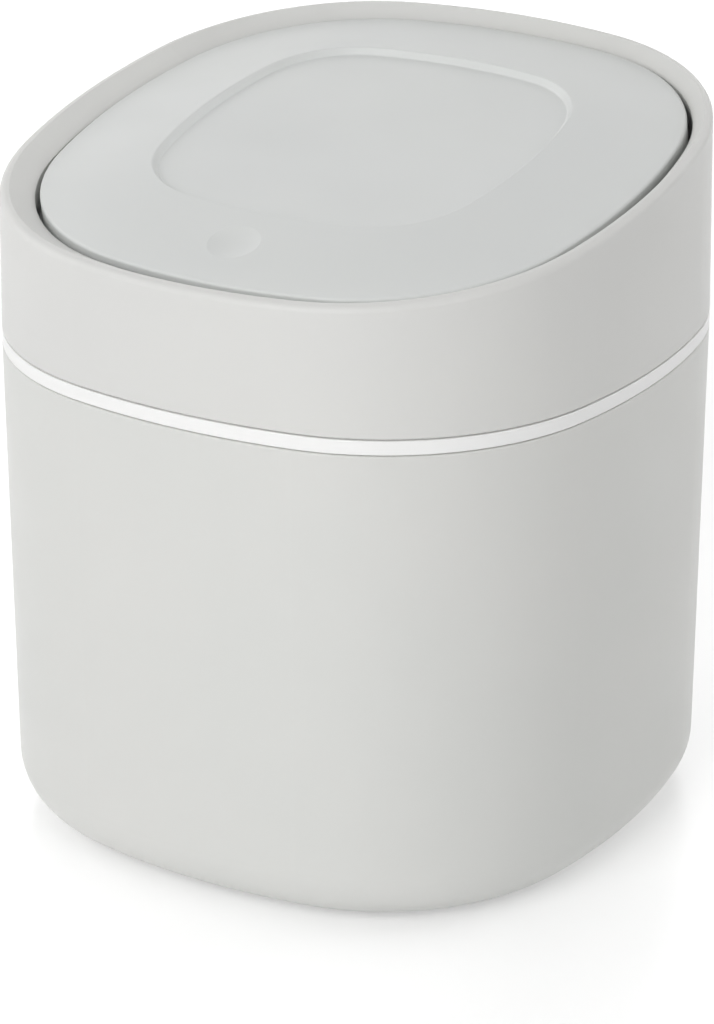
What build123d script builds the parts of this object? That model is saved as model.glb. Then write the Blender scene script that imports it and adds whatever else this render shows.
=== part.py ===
from build123d import *
import math
import os

os.makedirs("parts", exist_ok=True)

# Push top countertop bin, millimetres. +Z up, origin at the middle of the footprint, front towards -Y.
# The plan is a rounded square of eight tangent arcs. Walls, fits and openings are insets of that plan.
# The rim and the lid lie in a plane that falls towards the front: their pieces are drawn in the
# rim's own frame (u across, v up the slope towards the back, w out of the rim) and placed by RIM.

# ---- plan -----------------------------------------------------------------------------------------
HALF_WIDTH = 80.0          # half the width at the white band
SIDE_RADIUS = 160.0        # slow arc along each side
CORNER_RADIUS = 60.0       # arc round each corner

# ---- heights --------------------------------------------------------------------------------------
FOOT_PROUD = 1.0           # how far the foot pads stand out of the base
BODY_HEIGHT = 120.0        # outer body, base to top edge
BAND_HEIGHT = 4.0          # liner flange between the body and the collar
RIM_HEIGHT = 167.2         # rim plane above the floor, at the middle of the bin
RIM_SLOPE = 8.9            # degrees, high at the back

# ---- outer body -----------------------------------------------------------------------------------
BODY_WALL = 2.2
BODY_FLOOR = 2.4
BODY_DRAFT = 0.52          # degrees, narrower at the base
BASE_ROUND = 13.0          # rounding round the base
EDGE_ROUND = 0.5           # rounding of the edges that face the band

# ---- foot pads ------------------------------------------------------------------------------------
PAD_RADIUS = 6.0
PAD_THICKNESS = 2.0
PAD_PLACE = 44.0           # pad centres, along X and along Y
PAD_FIT = 0.1              # socket wall around a pad

# ---- liner ----------------------------------------------------------------------------------------
REVEAL = 0.3               # height of the shadow line above and below the band
REVEAL_DEPTH = 1.2         # how far the shadow line runs in
BAND_ROUND = 0.25
LINER_GAP = 1.2            # liner wall to body wall, at the top
LINER_WALL = 1.5
LINER_DRAFT = 1.0
LINER_LIFT = 1.6           # liner floor above the body floor
LINER_ROUND = 12.0

# ---- collar shell ---------------------------------------------------------------------------------
COLLAR_WALL = 2.2
COLLAR_DRAFT = 0.95        # degrees, narrower at the rim
LIP_WIDTH = 2.2            # outer face to the crest, where the funnel starts
LIP_FLAT = 0.2             # left between the outside rounding and the crest at the back
LIP_DEPTH = 2.6            # solid depth of the lip
FUNNEL_DEPTH = 4.6         # rim plane down to the funnel's lower edge
FUNNEL_WALL = 1.6

# ---- lid ------------------------------------------------------------------------------------------
LID_INSET = 7.6            # lid edge in from the rim's outside
LID_SHIFT = 2.5            # lid centre behind the rim's centre
LID_DROP = 3.3             # lid edge below the rim plane
LID_GAP = 1.3              # lid edge to funnel edge
LID_DEPTH = 6.0            # height of the lid's edge wall
LID_WALL = 1.8
LID_ROUND = 0.8
LID_SKIN = 1.6             # thickness of the crowned panel
CROWN_RADIUS = 363.0       # of the crown, over the middle of a side
RECESS_INSET = 27.2        # recess edge in from the lid edge
RECESS_DEPTH = 1.7
RECESS_SLANT = 35.0        # degrees, recess wall from upright
RECESS_ROUND = 0.6
DIMPLE_RADIUS = 6.4
DIMPLE_DEPTH = 1.0
DIMPLE_PLACE = 15.0        # dimple centre in from the lid's front edge

# ---- lid inner pan --------------------------------------------------------------------------------
PAN_THICKNESS = 1.6
PAN_FIT = 0.2
LID_BOSS_RADIUS = 3.2
LID_BOSS_INSET = 12.6      # lid screws, in from the lid's corners

# ---- collar frame ---------------------------------------------------------------------------------
DECK_DROP = 12.0           # rim plane down to the deck
DECK_THICKNESS = 1.6
THROAT_INSET = 12.0        # outer face of the throat, in from the plan
THROAT_WALL = 1.6
THROAT_REACH = 3.6         # how far the throat enters the liner; it ends above the body
FRAME_FIT = 0.3
FIN_THICKNESS = 1.6
FIN_FIT = 0.4
FIN_COUNT = 12
SCREW_PLACE_SIDE = 16.0    # side frame screws, behind the middle
SCREW_PLACE_FRONT = 26.0   # front frame screws, either side of the middle

# ---- hinge ----------------------------------------------------------------------------------------
HINGE_BACK = 20.0          # pivot in front of the lid's back edge
HINGE_DROP = 1.3           # pivot below the lid edge
PIN_RADIUS = 1.1
BARREL_RADIUS = 2.5
EAR_FIT = 0.02
KNUCKLE_FIT = 0.05
EAR_INNER = 15.0
EAR_OUTER = 21.0
HINGE_PLAY = 0.3           # ear to knuckle, along the pin
KNUCKLE_LENGTH = 6.0
NOTCH_FRONT = 9.0          # pan notch, in front of the pivot
EAR_FRONT = 7.0            # ear, in front of the pivot
EAR_BACK = 1.8             # ear, behind the pivot
LID_SWING_ROOM = 0.8       # clear space round the lid's back edge as it swings
SWING_FRONT = 4.5          # how far that space reaches in front of the pivot
BEAM_FRONT = 14.0          # beam under the ears, in front of the pivot
BEAM_RIB = 6.0             # depth of the ribs under the beam

# ---- torsion springs ------------------------------------------------------------------------------
SPRING_WIRE = 0.8
SPRING_COIL = 2.1          # coil's mean radius
SPRING_PITCH = 1.0
SPRING_TURNS = 8.5
SPRING_START = 4.5         # nearest coil to the middle
SPRING_LID_LEG = 4.4       # reach of the leg under the lid, in front of the pivot
SPRING_BEAM_LEG = 6.5      # reach of the leg on the beam

# ---- latch ----------------------------------------------------------------------------------------
SHELF_HALF = 13.0
SHELF_REACH = 11.0         # shelf behind the latch centre
SHELF_THICKNESS = 4.0
WINDOW_FIT = 0.6           # window in the shelf round the plunger
PRESS_STROKE = 2.4         # room for the strike when the lid is pressed
STRIKE_LENGTH = 8.0        # tip below the pan
STRIKE_HEAD = 2.0          # half the head's width
STRIKE_HEAD_HEIGHT = 2.4
STRIKE_STEM = 1.1
STRIKE_DEPTH = 2.4         # along v
STRIKE_BASE = 5.0          # half the base's width
STRIKE_FIT = 0.1
STRIKE_SEAT = 1.6          # thickness of its base, on the pan
JAW_GAP = 0.5              # strike head to jaw
JAW_THICKNESS = 1.5
JAW_HEIGHT = 6.4
JAW_DEPTH = 5.2            # along v
JAW_CHAMFER = 0.6
PLUNGER_DEPTH = 8.0        # along v
PLUNGER_BLOCK = 10.0
PLUNGER_FIT = 0.25
HOUSING_WALL = 1.5
HOUSING_FLOOR = 1.6
HOUSING_FLANGE = 1.6
LATCH_SCREW_PLACE = 9.3    # either side of the latch
LATCH_SPRING_COIL = 1.6
LATCH_SPRING_WIRE = 0.5
LATCH_SPRING_TURNS = 6
LATCH_SPRING_BORE = 2.2
LATCH_SPRING_SEAT = 6.0    # depth of its bore in the plunger
CAM_WIRE = 0.8
CAM_PLACE = 1.2            # cam pin, beside the middle of the track
CAM_TRACK_DEPTH = 0.9
CAM_TRACK_HALF = 2.2
CAM_TRACK_TOP = 1.2        # track below the top of the block
CAM_TRACK_LENGTH = 8.0
CAM_HEART_HALF = 0.9
CAM_HEART_HEIGHT = 3.6

# ---- screws ---------------------------------------------------------------------------------------
SCREW_RADIUS = 1.1
SCREW_HEAD_RADIUS = 2.0
SCREW_HEAD_HEIGHT = 1.5
CROSS_HALF = 1.2           # cross recess in the head
CROSS_WIDTH = 0.7
SCREW_FIT = 0.05
FRAME_SCREW_LENGTH = 7.0
LID_SCREW_LENGTH = 6.0
LATCH_SCREW_LENGTH = 5.0
SCREW_END_ROOM = 0.3       # hole beyond a screw's end
BOSS_RADIUS = 2.3
SEAT_GAP = 0.3             # spring and wire to what they bear on

# ---- levels and places that follow ----------------------------------------------------------------
BODY_TOP = FOOT_PROUD + BODY_HEIGHT
COLLAR_BASE = BODY_TOP + BAND_HEIGHT
LINER_INSET = BODY_WALL + LINER_GAP
MOUTH_INSET = LINER_INSET + LINER_WALL
TALL = 2 * RIM_HEIGHT      # taller than anything, for cutting tools

slope = math.radians(RIM_SLOPE)
RIM = Plane(origin=(0, 0, RIM_HEIGHT), x_dir=(1, 0, 0), z_dir=(0, -math.sin(slope), math.cos(slope))).location

RIM_NARROWING = (RIM_HEIGHT - COLLAR_BASE) * math.tan(math.radians(COLLAR_DRAFT))     # by the draft
RIM_HALF_U = HALF_WIDTH - RIM_NARROWING
RIM_HALF_V = RIM_HALF_U / math.cos(slope)
LIP_ROUND = (LIP_WIDTH - LIP_FLAT) * math.tan(math.radians(90 - RIM_SLOPE - COLLAR_DRAFT) / 2)
LID_HALF_U = RIM_HALF_U - LID_INSET
LID_HALF_V = RIM_HALF_V - LID_INSET
LID_BOTTOM = -LID_DROP - LID_DEPTH
FLOOR_INSET = RECESS_INSET + RECESS_DEPTH * math.tan(math.radians(RECESS_SLANT))      # of the recess floor
DECK_TOP = -DECK_DROP
DECK_BOTTOM = DECK_TOP - DECK_THICKNESS

HINGE_V = LID_SHIFT + LID_HALF_V - HINGE_BACK
HINGE_W = -LID_DROP - HINGE_DROP
SWING_RADIUS = math.hypot(HINGE_BACK, LID_DEPTH - HINGE_DROP) + LID_SWING_ROOM
KNUCKLE_INNER = EAR_OUTER + HINGE_PLAY

LATCH_V = LID_SHIFT - LID_HALF_V + DIMPLE_PLACE      # right under the dimple
STRIKE_TIP = LID_BOTTOM - STRIKE_LENGTH
PLUNGER_TOP = STRIKE_TIP - PRESS_STROKE - JAW_GAP
PLUNGER_BOTTOM = PLUNGER_TOP - PLUNGER_BLOCK
JAW_INNER = STRIKE_HEAD + JAW_GAP
PLUNGER_HALF = JAW_INNER + JAW_THICKNESS
HOUSING_INNER_BOTTOM = PLUNGER_BOTTOM - PRESS_STROKE - JAW_GAP
HOUSING_HALF_U = PLUNGER_HALF + PLUNGER_FIT + HOUSING_WALL
HOUSING_HALF_V = PLUNGER_DEPTH / 2 + PLUNGER_FIT + HOUSING_WALL
SHELF_BOTTOM = DECK_TOP - SHELF_THICKNESS


# ---- helpers --------------------------------------------------------------------------------------
def outline_arcs(half_x, half_y, side_radius, corner_radius):
    """Centre, radius, start and sweep (degrees) of the eight tangent arcs, anticlockwise from the +X side."""
    kx, ky = half_x - side_radius, half_y - side_radius
    spread = math.hypot(kx, ky)
    rise = math.sqrt((side_radius - corner_radius) ** 2 - spread**2 / 4)
    cx, cy = kx / 2 - rise * ky / spread, ky / 2 - rise * kx / spread
    low = math.degrees(math.atan2(cy, cx - kx))
    high = math.degrees(math.atan2(cy - ky, cx))
    return [
        ((kx, 0), side_radius, -low, 2 * low),
        ((cx, cy), corner_radius, low, high - low),
        ((0, ky), side_radius, high, 180 - 2 * high),
        ((-cx, cy), corner_radius, 180 - high, high - low),
        ((-kx, 0), side_radius, 180 - low, 2 * low),
        ((-cx, -cy), corner_radius, 180 + low, high - low),
        ((0, -ky), side_radius, 180 + high, 180 - 2 * high),
        ((cx, -cy), corner_radius, 360 - high, high - low),
    ]


def outline(*sizes):
    """Face inside the eight arcs."""
    return Face(Wire([CenterArc(*arc) for arc in outline_arcs(*sizes)]))


def ring(section, sizes):
    """A section carried round the outline, each arc about its own centre; its -x runs inwards, its y up."""
    whole = None
    for (x, y), radius, start, sweep in outline_arcs(*sizes):
        piece = Pos(x, y) * Rot(0, 0, start) * revolve(Pos(radius) * Plane.XZ * section, Axis.Z, sweep)
        whole = piece if whole is None else whole + piece
    return whole


def plan(inset):
    """The bin's plan, inset."""
    half = HALF_WIDTH - inset
    return outline(half, half, SIDE_RADIUS - inset, CORNER_RADIUS - inset)


def rim_sizes(inset):
    """The collar's outside where the rim plane cuts it, inset, drawn in that plane."""
    round_inset = RIM_NARROWING + inset
    return RIM_HALF_U - inset, RIM_HALF_V - inset, SIDE_RADIUS - round_inset, CORNER_RADIUS - round_inset


def rim_plan(inset):
    return outline(*rim_sizes(inset))


def lid_sizes(inset):
    return rim_sizes(LID_INSET + inset)


def lid_plan(inset):
    """The lid's plan in the rim frame, inset; a negative inset is outside the lid."""
    return Pos(0, LID_SHIFT) * outline(*lid_sizes(inset))


def prism(face, low, high, draft=0.0):
    """The face extruded from one level to another; a positive draft narrows it on the way up."""
    return Pos(0, 0, low) * extrude(face, amount=high - low, taper=draft)


def block(x0, x1, y0, y1, z0, z1):
    return Pos(x0, y0, z0) * Box(x1 - x0, y1 - y0, z1 - z0, align=(Align.MIN, Align.MIN, Align.MIN))


def rod_u(radius, u0, u1, v, w):
    """Round bar along u."""
    bar = Cylinder(radius, u1 - u0, align=(Align.CENTER, Align.CENTER, Align.MIN))
    return Pos(u0, v, w) * Rot(0, 90, 0) * bar


def rod_w(radius, u, v, w0, w1):
    """Round bar along w."""
    return Pos(u, v, w0) * Cylinder(radius, w1 - w0, align=(Align.CENTER, Align.CENTER, Align.MIN))


def above(level):
    """Everything above a level of the rim frame, in the bin's own frame."""
    return RIM * block(-TALL, TALL, -TALL, TALL, level, level + TALL)


def swing_space():
    """What the lid's back edge sweeps as it opens, in the rim frame."""
    ahead = block(-TALL, TALL, -TALL, HINGE_V - SWING_FRONT, -TALL, TALL)
    return rod_u(SWING_RADIUS, -TALL, TALL, HINGE_V, HINGE_W) - ahead


def coil(radius, wire, pitch, turns):
    """Round wire wound along +Z, starting on +X."""
    path = Helix(pitch, pitch * turns, radius)
    section = Plane(origin=path @ 0, z_dir=path % 0) * Circle(wire / 2)
    return sweep(section, path=path, is_frenet=True)


def wire_bar(points, wire):
    """Straight wire through points, with round joints."""
    bar = None
    for start, end in zip(points, points[1:]):
        run = Vector(*end) - Vector(*start)
        piece = Plane(origin=start, z_dir=run) * Cylinder(
            wire / 2, run.length, align=(Align.CENTER, Align.CENTER, Align.MIN))
        bar = piece if bar is None else bar + Pos(*start) * Sphere(wire / 2) + piece
    return bar


def edges_at(shape, level, tolerance=0.02):
    """Edges that lie in one level of the shape's own frame."""
    found = []
    for edge in shape.edges():
        box = edge.bounding_box()
        if abs(box.min.Z - level) < tolerance and abs(box.max.Z - level) < tolerance:
            found.append(edge)
    return found


def screw(u, v, seat, length):
    """Pan head screw with its head under the seat and its shank up."""
    low = seat - SCREW_HEAD_HEIGHT
    head = rod_w(SCREW_HEAD_RADIUS, u, v, low, seat)
    head = fillet(edges_at(head, low), SCREW_HEAD_HEIGHT * 0.45)
    for half_u, half_v in ((CROSS_HALF, CROSS_WIDTH / 2), (CROSS_WIDTH / 2, CROSS_HALF)):
        head -= block(u - half_u, u + half_u, v - half_v, v + half_v, low, seat - SCREW_HEAD_HEIGHT / 2)
    return head + rod_w(SCREW_RADIUS, u, v, seat, seat + length)


def screw_hole(u, v, seat, length):
    return rod_w(SCREW_RADIUS + SCREW_FIT, u, v, seat - SCREW_END_ROOM, seat + length + SCREW_END_ROOM)


def save(name, shape):
    export_step(shape, f"parts/{name}.step")


# ---- outer body and its pads ----------------------------------------------------------------------
def base_inset(draft, height):
    return height * math.tan(math.radians(draft))


def outer_body():
    foot = base_inset(BODY_DRAFT, BODY_HEIGHT)
    body = prism(plan(foot), FOOT_PROUD, BODY_TOP, -BODY_DRAFT)
    body = fillet(edges_at(body, FOOT_PROUD), BASE_ROUND)
    body = fillet(edges_at(body, BODY_TOP), EDGE_ROUND)
    floor = FOOT_PROUD + BODY_FLOOR
    narrow = BODY_WALL + foot - base_inset(BODY_DRAFT, BODY_FLOOR)
    hollow = prism(plan(narrow), floor, BODY_TOP + 1, -BODY_DRAFT)
    hollow = fillet(edges_at(hollow, floor), BASE_ROUND - BODY_WALL)
    body -= hollow
    for x, y in pad_places():
        body -= rod_w(PAD_RADIUS + PAD_FIT, x, y, 0, PAD_THICKNESS)
    return body


def pad_places():
    return [(x, y) for y in (-PAD_PLACE, PAD_PLACE) for x in (-PAD_PLACE, PAD_PLACE)]


def foot_pad(x, y):
    pad = rod_w(PAD_RADIUS, x, y, 0, PAD_THICKNESS)
    return fillet(edges_at(pad, 0), 0.4)


# ---- liner ----------------------------------------------------------------------------------------
def inner_liner():
    floor = FOOT_PROUD + BODY_FLOOR + LINER_LIFT
    depth = COLLAR_BASE - floor
    narrow = base_inset(LINER_DRAFT, depth)
    wall = prism(plan(LINER_INSET + narrow), floor, COLLAR_BASE, -LINER_DRAFT)
    wall = fillet(edges_at(wall, floor), LINER_ROUND)
    hollow_floor = floor + LINER_WALL
    narrow_inside = base_inset(LINER_DRAFT, depth - LINER_WALL)
    hollow = prism(plan(MOUTH_INSET + narrow_inside), hollow_floor, COLLAR_BASE + 1, -LINER_DRAFT)
    hollow = fillet(edges_at(hollow, hollow_floor), LINER_ROUND - LINER_WALL)
    band = prism(plan(0), BODY_TOP + REVEAL, COLLAR_BASE - REVEAL)
    band = fillet(edges_at(band, BODY_TOP + REVEAL) + edges_at(band, COLLAR_BASE - REVEAL), BAND_ROUND)
    seat = prism(plan(REVEAL_DEPTH), BODY_TOP, COLLAR_BASE)
    return wall + band + seat - hollow


# ---- collar shell ---------------------------------------------------------------------------------
def collar_prism(inset):
    """The collar's drafted outside, inset, from its base to above the rim."""
    return prism(plan(inset), COLLAR_BASE, TALL * 0.75, COLLAR_DRAFT)


def frame_screw_places():
    """Places in the rim frame between the collar's wall and the throat wall: two sides and two in front."""
    wall = HALF_WIDTH - COLLAR_WALL - base_inset(COLLAR_DRAFT, RIM_HEIGHT - DECK_DROP - COLLAR_BASE)
    wall_v = (wall + DECK_DROP * math.sin(slope)) / math.cos(slope)
    side = wall - SCREW_HEAD_RADIUS - FRAME_FIT - side_sag(SCREW_PLACE_SIDE)
    front = -(wall_v + LID_HALF_V + LID_GAP - LID_SHIFT) / 2 + side_sag(SCREW_PLACE_FRONT)
    return [(s * side, SCREW_PLACE_SIDE) for s in (-1, 1)] + [(s * SCREW_PLACE_FRONT, front) for s in (-1, 1)]


def side_sag(offset):
    """How far a side arc falls back at a distance from its middle."""
    return SIDE_RADIUS - math.sqrt(SIDE_RADIUS**2 - offset**2)


def throat_walls():
    """The wall that hangs from the funnel down to the deck, and the screw bosses, in the rim frame."""
    wall = prism(lid_plan(-LID_GAP - FUNNEL_WALL), DECK_TOP, -LIP_DEPTH)
    funnel_edge = block(-TALL, TALL, -TALL, TALL, -FUNNEL_DEPTH - FUNNEL_WALL / 2, TALL)
    wall -= swing_space() - funnel_edge
    for u, v in frame_screw_places():
        wall += rod_w(BOSS_RADIUS, u, v, DECK_TOP, -LIP_DEPTH)
    return wall


def collar_shell():
    lip = loft([Pos(0, 0, -FUNNEL_DEPTH - FUNNEL_WALL) * lid_plan(-LID_GAP - FUNNEL_WALL),
                Pos(0, 0, -LIP_DEPTH) * rim_plan(0)], ruled=True)
    lip += prism(rim_plan(-COLLAR_WALL), -LIP_DEPTH, LIP_DEPTH)
    air = loft([Pos(0, 0, -FUNNEL_DEPTH) * lid_plan(-LID_GAP), rim_plan(LIP_WIDTH)], ruled=True)
    air += prism(lid_plan(-LID_GAP), 2 * DECK_TOP, -FUNNEL_DEPTH)
    shell = collar_prism(0) - above(0)
    shell = fillet(edges_at(shell, COLLAR_BASE), EDGE_ROUND)
    in_rim_frame = RIM.inverse() * shell
    shell = RIM * fillet(edges_at(in_rim_frame, 0, 0.05), LIP_ROUND)
    shell -= collar_prism(COLLAR_WALL) - RIM * lip - RIM * throat_walls()
    shell -= RIM * air
    for u, v in frame_screw_places():
        shell -= RIM * screw_hole(u, v, DECK_BOTTOM, FRAME_SCREW_LENGTH)
    return shell


# ---- collar frame ---------------------------------------------------------------------------------
def in_throat(inset=0.0):
    """The space inside the throat's outer face, in the bin's own frame."""
    return prism(plan(THROAT_INSET + inset), COLLAR_BASE - THROAT_REACH, TALL)


def fins():
    """Fins round the throat that centre the collar in the liner's mouth."""
    low, high = COLLAR_BASE - THROAT_REACH, COLLAR_BASE + THROAT_REACH / 2
    room = prism(plan(MOUTH_INSET + FIN_FIT), low, high)
    room -= prism(plan(THROAT_INSET + THROAT_WALL / 2), low, high)
    spokes = None
    for index in range(FIN_COUNT):
        spoke = Rot(0, 0, (index + 0.5) * 360 / FIN_COUNT) * block(
            0, 2 * HALF_WIDTH, -FIN_THICKNESS / 2, FIN_THICKNESS / 2, low, high)
        spokes = spoke if spokes is None else spokes + spoke
    return room & spokes


def hinge_ear(side):
    """One ear of the hinge on its arm, in the rim frame."""
    u0, u1 = sorted((side * EAR_INNER, side * EAR_OUTER))
    arm = Polyline(
        (HINGE_V - EAR_FRONT, DECK_BOTTOM),
        (HINGE_V - EAR_FRONT, HINGE_W - 1.7 * BARREL_RADIUS),
        (HINGE_V - BARREL_RADIUS, HINGE_W),
        (HINGE_V + EAR_BACK, HINGE_W),
        (HINGE_V + EAR_BACK, HINGE_W - 1.7 * BARREL_RADIUS),
        (HINGE_V - SWING_FRONT, DECK_BOTTOM),
        close=True)
    face = Plane(origin=(u0, 0, 0), x_dir=(0, 1, 0), z_dir=(1, 0, 0)) * make_face(arm)
    ear = extrude(face, amount=u1 - u0, dir=(1, 0, 0)) + rod_u(BARREL_RADIUS, u0, u1, HINGE_V, HINGE_W)
    return ear - rod_u(PIN_RADIUS + EAR_FIT, u0 - 1, u1 + 1, HINGE_V, HINGE_W)


def hinge_beam():
    """Beam across the throat under the ears, with a rib along each edge, in the rim frame."""
    v0, v1 = HINGE_V - BEAM_FRONT, HINGE_V - SWING_FRONT
    beam = block(-HALF_WIDTH, HALF_WIDTH, v0, v1, DECK_BOTTOM, DECK_TOP)
    for v in (v0, v1 - THROAT_WALL):
        beam += block(-HALF_WIDTH, HALF_WIDTH, v, v + THROAT_WALL, DECK_BOTTOM - BEAM_RIB, DECK_BOTTOM)
    return beam


def latch_shelf():
    """Shelf that the latch hangs from, in the rim frame."""
    back = LATCH_V + SHELF_REACH
    return block(-SHELF_HALF, SHELF_HALF, -HALF_WIDTH - LID_DEPTH, back, SHELF_BOTTOM, DECK_TOP)


def collar_frame():
    below_deck = RIM * block(-TALL, TALL, -TALL, TALL, -TALL, DECK_TOP)
    deck_layer = RIM * block(-TALL, TALL, -TALL, HINGE_V - SWING_FRONT, DECK_BOTTOM, DECK_TOP)
    frame = (in_throat() & below_deck) + (collar_prism(COLLAR_WALL + FRAME_FIT) & deck_layer)
    frame -= in_throat(THROAT_WALL)
    frame = frame - RIM * swing_space() + fins()
    frame += in_throat(THROAT_WALL / 2) & (RIM * (hinge_beam() + latch_shelf()))
    frame += RIM * (hinge_ear(-1) + hinge_ear(1))
    half_u, half_v = PLUNGER_HALF + WINDOW_FIT, PLUNGER_DEPTH / 2 + WINDOW_FIT
    frame -= RIM * block(-half_u, half_u, LATCH_V - half_v, LATCH_V + half_v, 2 * SHELF_BOTTOM, 0)
    for u, v in frame_screw_places():
        frame -= RIM * screw_hole(u, v, DECK_BOTTOM, FRAME_SCREW_LENGTH)
    for u, v in latch_screw_places():
        frame -= RIM * screw_hole(u, v, SHELF_BOTTOM - HOUSING_FLANGE, LATCH_SCREW_LENGTH)
    return frame


def frame_screws():
    return Compound([RIM * screw(u, v, DECK_BOTTOM, FRAME_SCREW_LENGTH) for u, v in frame_screw_places()])


# ---- hinge ----------------------------------------------------------------------------------------
def hinge_pin():
    half = KNUCKLE_INNER + KNUCKLE_LENGTH - SEAT_GAP
    pin = rod_u(PIN_RADIUS, -half, half, HINGE_V, HINGE_W)
    return RIM * chamfer(pin.edges().filter_by(GeomType.CIRCLE), SEAT_GAP)


def torsion_spring(side):
    """Spring on the pin: one leg bears on the beam, the other under the lid."""
    length = SPRING_PITCH * SPRING_TURNS
    winding = Rot(0, 0, 180) * coil(SPRING_COIL, SPRING_WIRE, SPRING_PITCH, SPRING_TURNS)
    winding = Rot(0, 90, 0) * winding
    start, end = (0, 0, SPRING_COIL), (length, 0, -SPRING_COIL)
    if side < 0:
        winding = mirror(winding, Plane.YZ)
        end = (-length, 0, -SPRING_COIL)
    lid_tip = (start[0], -SPRING_LID_LEG, SPRING_COIL + SPRING_WIRE)
    beam_tip = (end[0], -SPRING_BEAM_LEG, DECK_TOP - HINGE_W + SPRING_WIRE / 2 + SEAT_GAP)
    spring = winding
    for root, tip in ((start, lid_tip), (end, beam_tip)):
        spring += Pos(*root) * Sphere(SPRING_WIRE / 2)
        spring += wire_bar([root, tip], SPRING_WIRE)
    return RIM * Pos(side * SPRING_START, HINGE_V, HINGE_W) * spring


# ---- lid ------------------------------------------------------------------------------------------
def crown_height(inset):
    """Level of the lid's top at an inset from its edge."""
    edge = math.sqrt(CROWN_RADIUS**2 - LID_HALF_U**2)
    return -LID_DROP + math.sqrt(CROWN_RADIUS**2 - (LID_HALF_U - inset) ** 2) - edge


def lid_screw_places():
    """One screw in from the middle of each corner arc."""
    places = []
    for (x, y), radius, start, sweep in outline_arcs(*lid_sizes(LID_BOSS_INSET))[1::2]:
        middle = math.radians(start + sweep / 2)
        places.append((x + radius * math.cos(middle), LID_SHIFT + y + radius * math.sin(middle)))
    return places


def lid_section():
    """Half of the panel's section, from its edge wall over the crown and down into the recess."""
    def crown_arc(outer, inner, drop):
        middle = (outer + inner) / 2
        return ThreePointArc(*[(-inset, crown_height(inset) - drop) for inset in (outer, middle, inner)])

    floor = crown_height(RECESS_INSET) - RECESS_DEPTH
    under_edge = RECESS_INSET - LID_SKIN
    inside = FLOOR_INSET + LID_SKIN
    top = crown_arc(0, RECESS_INSET, 0)
    under = crown_arc(LID_WALL, under_edge, LID_SKIN)
    outside = Polyline((-RECESS_INSET, floor + RECESS_DEPTH), (-FLOOR_INSET, floor), (-inside, floor),
                       (-inside, floor - LID_SKIN), (-under_edge, floor - LID_SKIN), under @ 1)
    wall = Polyline(under @ 0, (-LID_WALL, LID_BOTTOM), (0, LID_BOTTOM), (0, -LID_DROP))
    section = make_face([*top.edges(), *outside.edges(), *under.edges(), *wall.edges()])
    section = fillet(vertex_at(section, 0, -LID_DROP), LID_ROUND)
    section = fillet(vertex_at(section, -RECESS_INSET, floor + RECESS_DEPTH), RECESS_ROUND)
    return fillet(vertex_at(section, -FLOOR_INSET, floor), RECESS_ROUND)


def vertex_at(face, x, y):
    return min(face.vertices(), key=lambda vertex: math.hypot(vertex.X - x, vertex.Y - y))


def lid_top_panel():
    floor = crown_height(RECESS_INSET) - RECESS_DEPTH
    pan_top = LID_BOTTOM + PAN_THICKNESS
    panel = Pos(0, LID_SHIFT) * ring(lid_section(), lid_sizes(0))
    panel += prism(lid_plan(FLOOR_INSET + LID_SKIN / 2), floor - LID_SKIN, floor)
    for u, v in lid_screw_places():
        panel += rod_w(LID_BOSS_RADIUS, u, v, pan_top, crown_height(LID_BOSS_INSET) - LID_SKIN / 2)
        panel -= screw_hole(u, v, LID_BOTTOM, LID_SCREW_LENGTH)
    half = STRIKE_DEPTH / 2
    post_top = crown_height(DIMPLE_PLACE) - (DIMPLE_DEPTH + LID_SKIN) / 2
    panel += block(-STRIKE_BASE, STRIKE_BASE, LATCH_V - half, LATCH_V + half, pan_top + STRIKE_SEAT, post_top)
    return RIM * (panel - dimple())


def dimple():
    """Ball that cuts the round finger dimple square to the crown."""
    radius = (DIMPLE_RADIUS**2 + DIMPLE_DEPTH**2) / (2 * DIMPLE_DEPTH)
    tilt = math.asin((LID_HALF_U - DIMPLE_PLACE) / CROWN_RADIUS)
    stand = radius - DIMPLE_DEPTH
    v, w = LATCH_V - stand * math.sin(tilt), crown_height(DIMPLE_PLACE) + stand * math.cos(tilt)
    return Pos(0, v, w) * Sphere(radius)


def lid_inner_pan():
    pan_top = LID_BOTTOM + PAN_THICKNESS
    pan = prism(lid_plan(LID_WALL + PAN_FIT), LID_BOTTOM, pan_top)
    pan -= block(-KNUCKLE_INNER, KNUCKLE_INNER, HINGE_V - NOTCH_FRONT, TALL, LID_BOTTOM - 1, pan_top + 1)
    for side in (-1, 1):
        u0, u1 = sorted((side * KNUCKLE_INNER, side * (KNUCKLE_INNER + KNUCKLE_LENGTH)))
        pan += rod_u(BARREL_RADIUS, u0, u1, HINGE_V, HINGE_W)
        pan += block(u0, u1, HINGE_V - BARREL_RADIUS, HINGE_V + BARREL_RADIUS, LID_BOTTOM, HINGE_W)
        pan -= rod_u(PIN_RADIUS + KNUCKLE_FIT, u0 - 1, u1 + 1, HINGE_V, HINGE_W)
    for u, v in lid_screw_places():
        pan -= screw_hole(u, v, LID_BOTTOM, LID_SCREW_LENGTH)
    half_u, half_v = STRIKE_STEM + STRIKE_FIT, STRIKE_DEPTH / 2 + STRIKE_FIT
    pan -= block(-half_u, half_u, LATCH_V - half_v, LATCH_V + half_v, LID_BOTTOM - 1, pan_top + 1)
    return RIM * pan


def lid_screws():
    return Compound([RIM * screw(u, v, LID_BOTTOM, LID_SCREW_LENGTH) for u, v in lid_screw_places()])


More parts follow.
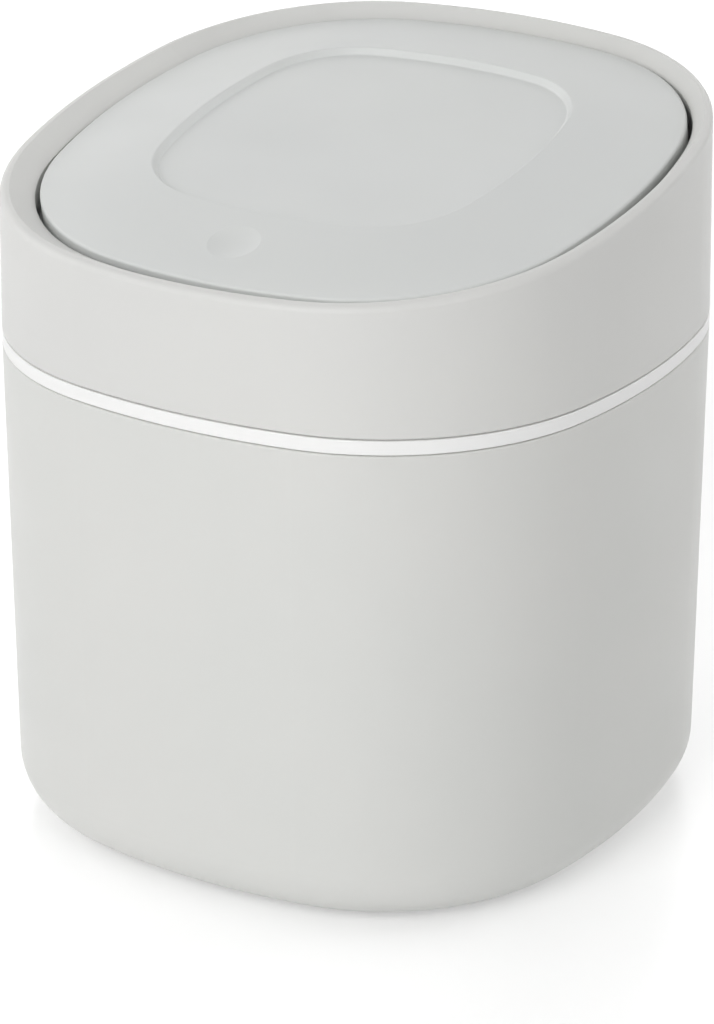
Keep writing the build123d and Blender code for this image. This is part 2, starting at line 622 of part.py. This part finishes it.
def latch_strike():
    """Headed tongue: its base lies on the pan under the panel, its stem comes down through the pan."""
    pan_top = LID_BOTTOM + PAN_THICKNESS
    v0, v1 = LATCH_V - STRIKE_DEPTH / 2, LATCH_V + STRIKE_DEPTH / 2
    base_top = pan_top + STRIKE_SEAT
    base = block(-STRIKE_BASE, STRIKE_BASE, v0 - STRIKE_STEM, v1 + STRIKE_STEM, pan_top, base_top)
    stem = block(-STRIKE_STEM, STRIKE_STEM, v0, v1, STRIKE_TIP, pan_top)
    head = block(-STRIKE_HEAD, STRIKE_HEAD, v0, v1, STRIKE_TIP, STRIKE_TIP + STRIKE_HEAD_HEIGHT)
    head = chamfer(head.edges().filter_by(Axis.Y), STRIKE_HEAD - STRIKE_STEM)
    return RIM * (base + stem + head)


# ---- latch ----------------------------------------------------------------------------------------
def latch_screw_places():
    return [(u, LATCH_V) for u in (-LATCH_SCREW_PLACE, LATCH_SCREW_PLACE)]


def latch_housing():
    top = SHELF_BOTTOM
    low = HOUSING_INNER_BOTTOM - HOUSING_FLOOR
    v0, v1 = LATCH_V - HOUSING_HALF_V, LATCH_V + HOUSING_HALF_V
    housing = block(-HOUSING_HALF_U, HOUSING_HALF_U, v0, v1, low, top)
    housing += block(-SHELF_HALF, SHELF_HALF, v0, v1, top - HOUSING_FLANGE, top)
    half_u, half_v = PLUNGER_HALF + PLUNGER_FIT, PLUNGER_DEPTH / 2 + PLUNGER_FIT
    housing -= block(-half_u, half_u, LATCH_V - half_v, LATCH_V + half_v, HOUSING_INNER_BOTTOM, top)
    slot = CAM_WIRE / 2 + SCREW_FIT
    slot_low, slot_high = cam_pin_low() - slot, cam_pin_high() + slot
    housing -= block(CAM_PLACE - slot, CAM_PLACE + slot, v0, LATCH_V, slot_low, slot_high)
    for u, v in latch_screw_places():
        housing -= screw_hole(u, v, top - HOUSING_FLANGE, LATCH_SCREW_LENGTH)
    return RIM * housing


def cam_pin_high():
    """Level of the cam pin's tip, in the top of the track."""
    return PLUNGER_TOP - CAM_TRACK_TOP - CAM_WIRE


def cam_pin_low():
    """Level of the cam pin's pivot, under the plunger."""
    return PLUNGER_BOTTOM - CAM_WIRE - SEAT_GAP


def latch_cam_pin():
    spine = LATCH_V - HOUSING_HALF_V + HOUSING_WALL / 2
    tip = LATCH_V - PLUNGER_DEPTH / 2 + CAM_TRACK_DEPTH - SEAT_GAP
    points = [(CAM_PLACE, tip, cam_pin_low()), (CAM_PLACE, spine, cam_pin_low()),
              (CAM_PLACE, spine, cam_pin_high()), (CAM_PLACE, tip, cam_pin_high())]
    return RIM * wire_bar(points, CAM_WIRE)


def latch_plunger():
    """Sliding block with two jaws above it, a spring bore below and the heart-shaped track in front."""
    half_v, jaw_half = PLUNGER_DEPTH / 2, JAW_DEPTH / 2
    front, jaw_top = LATCH_V - half_v, PLUNGER_TOP + JAW_HEIGHT
    plunger = block(-PLUNGER_HALF, PLUNGER_HALF, front, LATCH_V + half_v, PLUNGER_BOTTOM, PLUNGER_TOP)
    for side in (-1, 1):
        u0, u1 = sorted((side * JAW_INNER, side * PLUNGER_HALF))
        jaw = block(u0, u1, LATCH_V - jaw_half, LATCH_V + jaw_half, PLUNGER_TOP, jaw_top)
        tips = [edge for edge in edges_at(jaw, jaw_top) if edge.length > 2 * JAW_THICKNESS]
        plunger += chamfer(tips, JAW_CHAMFER)
    plunger -= rod_w(LATCH_SPRING_BORE, 0, LATCH_V, PLUNGER_BOTTOM, PLUNGER_BOTTOM + LATCH_SPRING_SEAT)
    high = PLUNGER_TOP - CAM_TRACK_TOP
    low = high - CAM_TRACK_LENGTH
    track = block(-CAM_TRACK_HALF, CAM_TRACK_HALF, front, front + CAM_TRACK_DEPTH, low, high)
    middle, centre = (low + high) / 2, CAM_HEART_HALF - CAM_PLACE
    heart = Polyline(
        (centre - CAM_HEART_HALF, middle + CAM_HEART_HEIGHT / 4),
        (centre - CAM_HEART_HALF / 2, middle + CAM_HEART_HEIGHT / 2),
        (centre, middle + CAM_HEART_HEIGHT / 4),
        (centre + CAM_HEART_HALF / 2, middle + CAM_HEART_HEIGHT / 2),
        (centre + CAM_HEART_HALF, middle + CAM_HEART_HEIGHT / 4),
        (centre, middle - CAM_HEART_HEIGHT / 2),
        close=True)
    face = Plane(origin=(0, front, 0), x_dir=(1, 0, 0), z_dir=(0, -1, 0)) * make_face(heart)
    return RIM * (plunger - (track - extrude(face, amount=CAM_TRACK_DEPTH, dir=(0, 1, 0))))


def latch_spring():
    low = HOUSING_INNER_BOTTOM + LATCH_SPRING_WIRE / 2
    high = PLUNGER_BOTTOM + LATCH_SPRING_SEAT - LATCH_SPRING_WIRE / 2 - SEAT_GAP
    pitch = (high - low) / LATCH_SPRING_TURNS
    winding = coil(LATCH_SPRING_COIL, LATCH_SPRING_WIRE, pitch, LATCH_SPRING_TURNS)
    return RIM * Pos(0, LATCH_V, low) * winding


def latch_screws():
    seat = SHELF_BOTTOM - HOUSING_FLANGE
    return Compound([RIM * screw(u, v, seat, LATCH_SCREW_LENGTH) for u, v in latch_screw_places()])


# ---- the whole bin --------------------------------------------------------------------------------
save("outer_body", outer_body())
for index, (x, y) in enumerate(pad_places()):
    save(f"foot_pad_{index + 1}", foot_pad(x, y))
save("inner_liner", inner_liner())
save("collar_shell", collar_shell())
save("collar_frame", collar_frame())
save("frame_screws", frame_screws())
save("hinge_pin", hinge_pin())
save("torsion_spring_left", torsion_spring(-1))
save("torsion_spring_right", torsion_spring(1))
save("latch_housing", latch_housing())
save("latch_screws", latch_screws())
save("latch_cam_pin", latch_cam_pin())
save("latch_spring", latch_spring())
save("latch_plunger", latch_plunger())
save("lid_top_panel", lid_top_panel())
save("lid_inner_pan", lid_inner_pan())
save("lid_screws", lid_screws())
save("latch_strike", latch_strike())
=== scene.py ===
"""Looks of the push top countertop bin: finishes, floor, lamps and the photo's camera.

Every shape of the bin comes from the CAD frame. Lengths are in metres and angles in degrees, with
azimuth 0 in front of the bin and 90 on its right. Noise scales are in cells per metre.
"""
import math

import bmesh
import bpy
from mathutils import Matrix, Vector

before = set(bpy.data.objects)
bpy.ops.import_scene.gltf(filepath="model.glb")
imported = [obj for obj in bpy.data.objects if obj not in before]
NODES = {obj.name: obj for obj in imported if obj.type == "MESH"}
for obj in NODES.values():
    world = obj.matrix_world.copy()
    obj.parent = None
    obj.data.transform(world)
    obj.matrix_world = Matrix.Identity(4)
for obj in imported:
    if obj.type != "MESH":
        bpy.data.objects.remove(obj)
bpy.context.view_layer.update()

# ---- surface textures -----------------------------------------------------------------------------
GRAIN_CELL, GRAIN_DEPTH = 0.00035, 0.000012      # spark-eroded grain of moulded plastic
WAVE_SCALE, WAVE_DEPTH = 9.0, 0.00006            # slow waviness of a moulded wall
DRIFT_SCALE = 14.0                               # slow drift of the plastic's colour
RUB_SCALE, RUB_CHANGE = 45.0, 0.05               # rubbed patches, and their change of roughness
SCATTER_DEPTH = 0.0015                           # how far light goes into the latch's plastic

STREAK_SCALE, STREAK_DEPTH = 900.0, 0.00002      # drawing marks on steel
STREAK_STRETCH = (0.15, 4.0, 4.0)                # they run along X
STREAK_SMOOTHER, STREAK_DULLER = 0.06, 0.08      # change of roughness in and between the marks
SPOT_SCALE, SPOT_TONE = 260.0, 0.72              # duller spots, and their share of the colour

DUST_SCALE, DUST_DEPTH = 320.0, 0.00005          # broken, dusty surface of rubber
RUBBER_SPECULAR = 0.3
RUBBER_SMOOTHEST, RUBBER_ROUGHEST = 0.7, 0.9

# ---- floor ----------------------------------------------------------------------------------------
FLOOR_HALF = 6.0                                 # half the floor's width
FLOOR_CELLS = 8
FLOOR_DARK, FLOOR_LIGHT = 0.80, 0.82             # its paint varies between these greys
SPECK_SCALE = 30.0
FLOOR_LIFT = 0.45                                # glow of the floor under the object, as the camera sees it
FLOOR_NEAR, FLOOR_FAR = 0.35, 1.2                # where the glow starts to rise, and where it is full
FLOOR_SHEEN, FLOOR_BLUR = 0.22, 0.25             # share and roughness of the floor's gloss

# ---- camera, fitted to the bin's outlines in the photo --------------------------------------------
TARGET = Vector((0, 0, 0.091))                   # what the camera and the lamps turn to
CAMERA_AZIMUTH, CAMERA_ELEVATION = 31.153, 21.988
CAMERA_DISTANCE = 0.972618
FOCAL_PIXELS = 3982.44
IMAGE_WIDTH, IMAGE_HEIGHT = 714, 1024            # in pixels
PRINCIPAL = (357.96, 438.91)                     # pixel that the camera's axis goes through
SENSOR_MM = 36.0                                 # spans the image's longer side
CLIP_NEAR, CLIP_FAR = 0.01, 50.0

# ---- lamps ----------------------------------------------------------------------------------------
LAMP_DISTANCE = 1.6
SIDE_ELEVATION, SIDE_SIZE = 28, 1.0
SIDE_LAMPS = (                                   # name, azimuth, power in watts
    ("front", 0, 12.1), ("front_left", -60, 3.3), ("left", -90, 4.3), ("back_left", -130, 2.1),
    ("back", 180, 2.8), ("back_right", 140, 5.9), ("front_right", 60, 4.7),
)
TOP_ELEVATION, TOP_SIZE, TOP_POWER = 85, 1.2, 5.1


# ---- colour and node helpers ----------------------------------------------------------------------
def srgb(red, green, blue):
    """Linear colour of an 8-bit screen colour."""
    def linear(value):
        value /= 255
        return value / 12.92 if value <= 0.04045 else ((value + 0.055) / 1.055) ** 2.4
    return (linear(red), linear(green), linear(blue), 1.0)


def grey(value):
    return (value, value, value, 1.0)


def add_node(tree, kind, **inputs):
    """New node, with values for its inputs; _ in a name stands for a space."""
    node = tree.nodes.new(kind)
    for name, value in inputs.items():
        node.inputs[name.replace("_", " ")].default_value = value
    return node


def noise(tree, place, scale, detail=3.0, roughness=0.55):
    node = add_node(tree, "ShaderNodeTexNoise", Scale=scale, Detail=detail, Roughness=roughness)
    tree.links.new(place, node.inputs["Vector"])
    return node.outputs["Fac"]


def spread(tree, value, low, high, to_low=0.0, to_high=1.0):
    """The value from low to high, stretched to run from to_low to to_high and held there."""
    node = add_node(tree, "ShaderNodeMapRange", From_Min=low, From_Max=high, To_Min=to_low, To_Max=to_high)
    tree.links.new(value, node.inputs["Value"])
    return node.outputs["Result"]


def tinted(tree, factor, first, second):
    """The first colour where the factor is 0, and the second where it is 1."""
    node = tree.nodes.new("ShaderNodeMix")
    node.data_type = "RGBA"
    tree.links.new(factor, node.inputs["Factor"])
    node.inputs["A"].default_value = first
    node.inputs["B"].default_value = second
    return node.outputs["Result"]


def combined(tree, operation, first, second):
    node = tree.nodes.new("ShaderNodeMath")
    node.operation = operation
    tree.links.new(first, node.inputs[0])
    tree.links.new(second, node.inputs[1])
    return node.outputs["Value"]


def raised(tree, height, depth, strength=1.0, over=None):
    """Normal of a relief of this depth, laid over another one if there is one."""
    node = add_node(tree, "ShaderNodeBump", Strength=strength, Distance=depth)
    tree.links.new(height, node.inputs["Height"])
    if over is not None:
        tree.links.new(over, node.inputs["Normal"])
    return node.outputs["Normal"]


def start_material(name):
    material = bpy.data.materials.new(name)
    material.use_nodes = True
    tree = material.node_tree
    place = tree.nodes.new("ShaderNodeTexCoord").outputs["Object"]
    return material, tree, tree.nodes["Principled BSDF"], place


# ---- kinds of material ----------------------------------------------------------------------------
def moulded(name, colour, shade, roughness, scatter=0.0):
    """Moulded plastic: fine grain on a slightly wavy wall, drifting colour and rubbed patches."""
    material, tree, shader, place = start_material(name)
    links = tree.links
    drift = spread(tree, noise(tree, place, DRIFT_SCALE, detail=2.0), low=0.3, high=0.7)
    links.new(tinted(tree, drift, colour, shade), shader.inputs["Base Color"])
    rubbed = noise(tree, place, RUB_SCALE, detail=4.0, roughness=0.6)
    patches = spread(tree, rubbed, low=0.35, high=0.7,
                     to_low=roughness - RUB_CHANGE, to_high=roughness + RUB_CHANGE)
    links.new(patches, shader.inputs["Roughness"])
    if scatter:
        shader.inputs["Subsurface Weight"].default_value = scatter
        shader.inputs["Subsurface Scale"].default_value = SCATTER_DEPTH
    grain = noise(tree, place, 1 / GRAIN_CELL, detail=2.0, roughness=0.5)
    waves = raised(tree, noise(tree, place, WAVE_SCALE, detail=1.0), WAVE_DEPTH)
    links.new(raised(tree, grain, GRAIN_DEPTH, over=waves), shader.inputs["Normal"])
    return material


def drawn_steel(name, colour, roughness):
    """Drawn steel: streaks along one axis, and a few duller spots."""
    material, tree, shader, place = start_material(name)
    links = tree.links
    shader.inputs["Metallic"].default_value = 1.0
    stretch = add_node(tree, "ShaderNodeMapping", Scale=STREAK_STRETCH)
    links.new(place, stretch.inputs["Vector"])
    streaks = noise(tree, stretch.outputs["Vector"], STREAK_SCALE)
    spots = spread(tree, noise(tree, place, SPOT_SCALE), low=0.45, high=0.75)
    dull = tuple(SPOT_TONE * part for part in colour[:3]) + (1.0,)
    links.new(tinted(tree, spots, colour, dull), shader.inputs["Base Color"])
    marks = spread(tree, streaks, low=0.3, high=0.7,
                   to_low=roughness - STREAK_SMOOTHER, to_high=roughness + STREAK_DULLER)
    links.new(marks, shader.inputs["Roughness"])
    links.new(raised(tree, streaks, STREAK_DEPTH, strength=0.6), shader.inputs["Normal"])
    return material


def rubber(name, colour, shade):
    """Soft pad: a dusty, broken surface with no shine."""
    material, tree, shader, place = start_material(name)
    links = tree.links
    dust = noise(tree, place, DUST_SCALE, detail=5.0, roughness=0.65)
    shader.inputs["Specular IOR Level"].default_value = RUBBER_SPECULAR
    dusted = spread(tree, dust, low=0.4, high=0.7)
    links.new(tinted(tree, dusted, colour, shade), shader.inputs["Base Color"])
    broken = spread(tree, dust, low=0.3, high=0.7, to_low=RUBBER_SMOOTHEST, to_high=RUBBER_ROUGHEST)
    links.new(broken, shader.inputs["Roughness"])
    links.new(raised(tree, dust, DUST_DEPTH, strength=0.5), shader.inputs["Normal"])
    return material


# ---- the bin's materials --------------------------------------------------------------------------
BODY = moulded("body_plastic", srgb(222, 222, 219), srgb(219, 220, 217), roughness=0.46)
COLLAR = moulded("collar_plastic", srgb(222, 222, 219), srgb(220, 220, 218), roughness=0.46)
LID = moulded("lid_plastic", srgb(220, 222, 220), srgb(217, 219, 218), roughness=0.44)
BAND = moulded("liner_plastic", srgb(250, 250, 249), srgb(247, 247, 246), roughness=0.4)
PAN = moulded("pan_plastic", srgb(205, 206, 205), srgb(198, 199, 198), roughness=0.55)
FRAME = moulded("frame_plastic", srgb(196, 197, 196), srgb(188, 189, 189), roughness=0.58)
LATCH = moulded("latch_plastic", srgb(236, 235, 230), srgb(228, 227, 222), roughness=0.35, scatter=0.05)
PADS = rubber("pad_rubber", srgb(88, 89, 90), srgb(112, 112, 112))
STEEL = drawn_steel("pin_steel", srgb(200, 200, 202), roughness=0.24)
SPRING = drawn_steel("spring_steel", srgb(176, 176, 180), roughness=0.3)
SCREWS = drawn_steel("screw_zinc", srgb(190, 192, 196), roughness=0.34)

FINISHES = {
    "outer_body": BODY, "collar_shell": COLLAR, "lid_top_panel": LID, "inner_liner": BAND,
    "lid_inner_pan": PAN, "collar_frame": FRAME, "latch_housing": LATCH, "latch_plunger": LATCH,
    "latch_strike": LATCH, "latch_cam_pin": STEEL, "hinge_pin": STEEL, "latch_spring": SPRING,
    "torsion_spring_left": SPRING, "torsion_spring_right": SPRING, "frame_screws": SCREWS,
    "lid_screws": SCREWS, "latch_screws": SCREWS, "foot_pad_1": PADS, "foot_pad_2": PADS,
    "foot_pad_3": PADS, "foot_pad_4": PADS,
}
for name, finish in FINISHES.items():
    mesh = NODES[name].data
    mesh.materials.clear()
    mesh.materials.append(finish)


# ---- floor and background -------------------------------------------------------------------------
def seen_directly(tree):
    """1 for camera, gloss and transmission rays, and 0 for diffuse ones."""
    rays = tree.nodes.new("ShaderNodeLightPath")
    result = rays.outputs["Is Camera Ray"]
    for kind in ("Is Glossy Ray", "Is Transmission Ray"):
        result = combined(tree, "MAXIMUM", result, rays.outputs[kind])
    return result


def floor_glow(tree, place):
    """Glow that diffuse rays don't see. It rises away from the object, where the floor turns white."""
    away = tree.nodes.new("ShaderNodeVectorMath")
    away.operation = "LENGTH"
    tree.links.new(place, away.inputs[0])
    rise = spread(tree, away.outputs["Value"], FLOOR_NEAR, FLOOR_FAR, to_low=FLOOR_LIFT)
    glow = add_node(tree, "ShaderNodeEmission")
    tree.links.new(combined(tree, "MULTIPLY", seen_directly(tree), rise), glow.inputs["Strength"])
    return glow.outputs["Emission"]


def floor_paint():
    """Pale paint with a soft sheen. It keeps the shadow, and goes to white away from the object."""
    material = bpy.data.materials.new("floor_paint")
    material.use_nodes = True
    tree = material.node_tree
    tree.nodes.clear()
    links = tree.links
    place = tree.nodes.new("ShaderNodeTexCoord").outputs["Object"]
    paint = add_node(tree, "ShaderNodeBsdfDiffuse")
    speck = noise(tree, place, SPECK_SCALE)
    links.new(tinted(tree, speck, grey(FLOOR_DARK), grey(FLOOR_LIGHT)), paint.inputs["Color"])
    lit = tree.nodes.new("ShaderNodeAddShader")
    links.new(paint.outputs["BSDF"], lit.inputs[0])
    links.new(floor_glow(tree, place), lit.inputs[1])
    gloss = add_node(tree, "ShaderNodeBsdfGlossy", Color=grey(1.0), Roughness=FLOOR_BLUR)
    mixed = add_node(tree, "ShaderNodeMixShader", Fac=FLOOR_SHEEN)
    links.new(lit.outputs["Shader"], mixed.inputs[1])
    links.new(gloss.outputs["BSDF"], mixed.inputs[2])
    out = tree.nodes.new("ShaderNodeOutputMaterial")
    links.new(mixed.outputs["Shader"], out.inputs["Surface"])
    return material


def add_object(name, data):
    made = bpy.data.objects.new(name, data)
    bpy.context.scene.collection.objects.link(made)
    return made


def stage_floor():
    """Wide flat floor for the renders. It is no piece of the bin."""
    mesh = bpy.data.meshes.new("floor")
    bm = bmesh.new()
    bmesh.ops.create_grid(bm, x_segments=FLOOR_CELLS, y_segments=FLOOR_CELLS, size=FLOOR_HALF)
    bm.to_mesh(mesh)
    bm.free()
    mesh.materials.append(floor_paint())
    floor = add_object("floor", mesh)


def white_world():
    """White past the floor for camera, gloss and transmission rays. Diffuse rays get no light from it."""
    made = bpy.data.worlds.new("studio")
    bpy.context.scene.world = made
    made.use_nodes = True
    tree = made.node_tree
    tree.nodes.clear()
    background = add_node(tree, "ShaderNodeBackground", Color=grey(1.0))
    tree.links.new(seen_directly(tree), background.inputs["Strength"])
    out = tree.nodes.new("ShaderNodeOutputWorld")
    tree.links.new(background.outputs["Background"], out.inputs["Surface"])


# ---- lamps and camera -----------------------------------------------------------------------------
def direction(azimuth, elevation):
    a, e = math.radians(azimuth), math.radians(elevation)
    return Vector((math.sin(a) * math.cos(e), -math.cos(a) * math.cos(e), math.sin(e)))


def lamp(name, azimuth, elevation, size, power):
    """Square lamp that faces the object from this direction."""
    light = bpy.data.lights.new(name, "AREA")
    light.size = size
    light.energy = power
    made = add_object(name, light)
    made.location = TARGET + LAMP_DISTANCE * direction(azimuth, elevation)
    made.rotation_euler = (TARGET - made.location).to_track_quat("-Z", "Y").to_euler()


def photo_camera():
    data = bpy.data.cameras.new("camera")
    data.sensor_width = SENSOR_MM
    data.lens = FOCAL_PIXELS * SENSOR_MM / IMAGE_HEIGHT
    data.shift_x = (IMAGE_WIDTH / 2 - PRINCIPAL[0]) / IMAGE_HEIGHT
    data.shift_y = (PRINCIPAL[1] - IMAGE_HEIGHT / 2) / IMAGE_HEIGHT
    data.clip_start, data.clip_end = CLIP_NEAR, CLIP_FAR
    back = direction(CAMERA_AZIMUTH, CAMERA_ELEVATION)
    camera = add_object("camera", data)
    camera.location = TARGET + CAMERA_DISTANCE * back
    camera.rotation_euler = (-back).to_track_quat("-Z", "Y").to_euler()
    bpy.context.scene.camera = camera


stage_floor()
white_world()
for name, azimuth, power in SIDE_LAMPS:
    lamp(name, azimuth, SIDE_ELEVATION, SIDE_SIZE, power)
lamp("top", 0, TOP_ELEVATION, TOP_SIZE, TOP_POWER)
photo_camera()
bpy.context.scene.view_settings.view_transform = "Standard"
